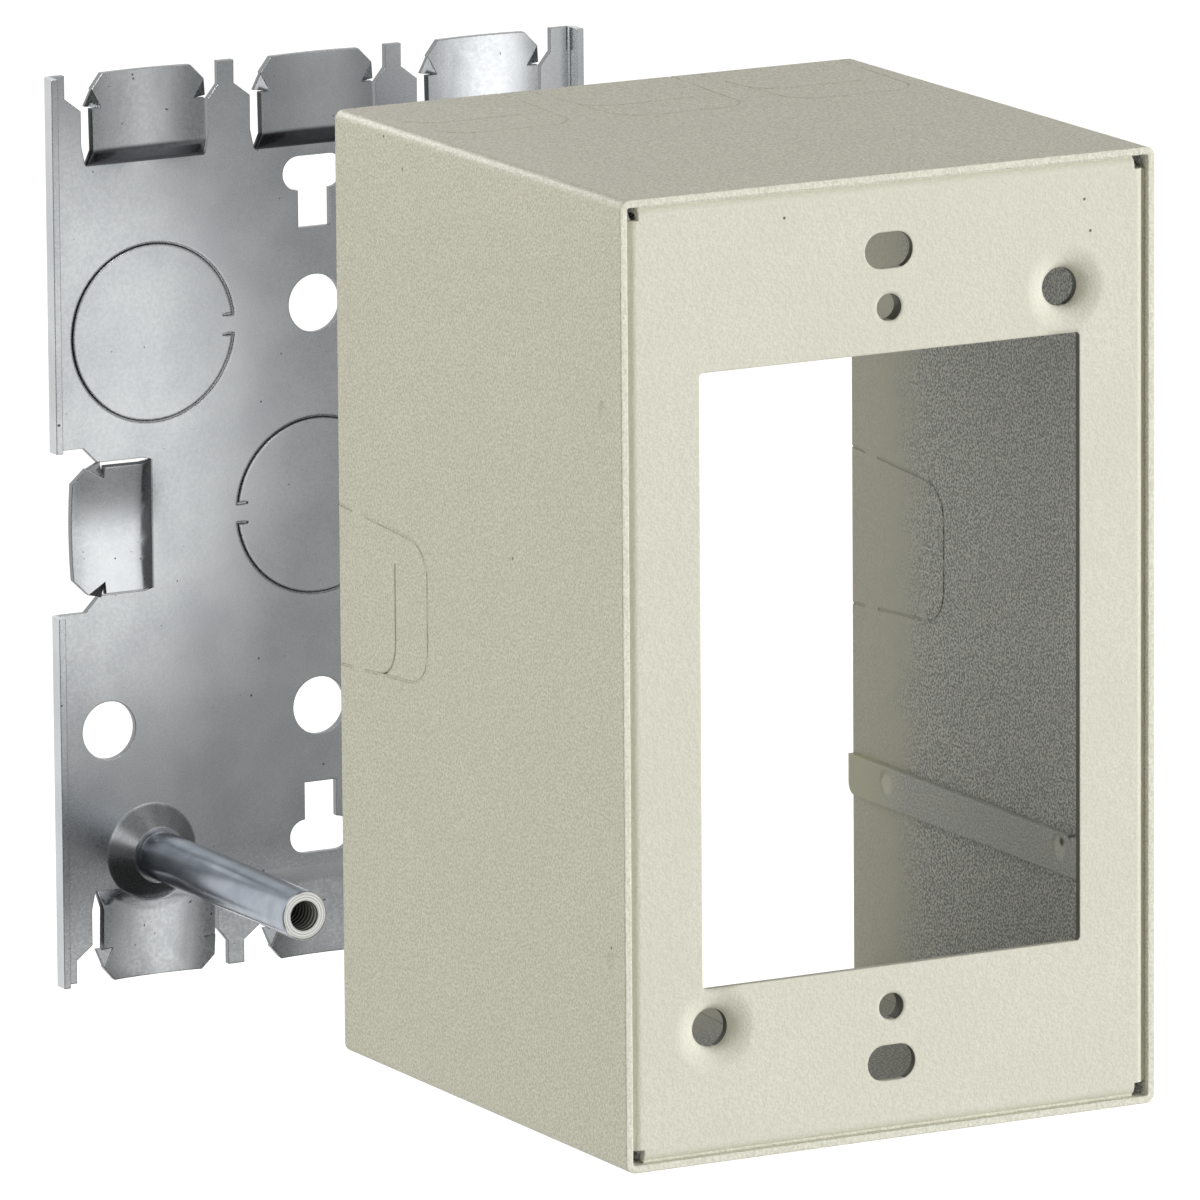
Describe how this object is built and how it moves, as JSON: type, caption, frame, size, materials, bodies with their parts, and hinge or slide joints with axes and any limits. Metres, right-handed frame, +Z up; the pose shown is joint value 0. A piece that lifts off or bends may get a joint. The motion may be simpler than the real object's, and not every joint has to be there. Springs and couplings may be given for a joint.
{
  "type": "surface raceway outlet box",
  "caption": "Deep steel outlet box for surface raceway: a flanged wall base with tongues, knockouts and screw posts, and a painted cover with an open device face.",
  "frame": {"origin": "centre of the base's rear face, which lies on the wall", "axes": "+X to the right seen from the room, +Y into the wall, +Z up; the cover stands off towards -Y as it is lifted off"},
  "size_m": [0.0804, 0.1309, 0.1179],
  "materials": {
    "galvanised_sheet": "galvanised mill finish",
    "plated_post": "bright turned",
    "ivory_paint": "satin, finely textured",
    "bare_sheet": "mill finish with paint overspray"
  },
  "bodies": {
    "base": {"base_plate": "galvanised_sheet", "post_lower_left": "plated_post", "post_upper_right": "plated_post"},
    "cover": {"cover_sleeve": "ivory_paint", "cover_face": "ivory_paint", "ground_strap": "bare_sheet"}
  },
  "joints": [
    {"name": "cover_seating", "type": "slide", "parent": "base", "child": "cover", "axis": [-0.1353, 0.989, -0.0596], "range_m": [0, 0.05875]}
  ]
}
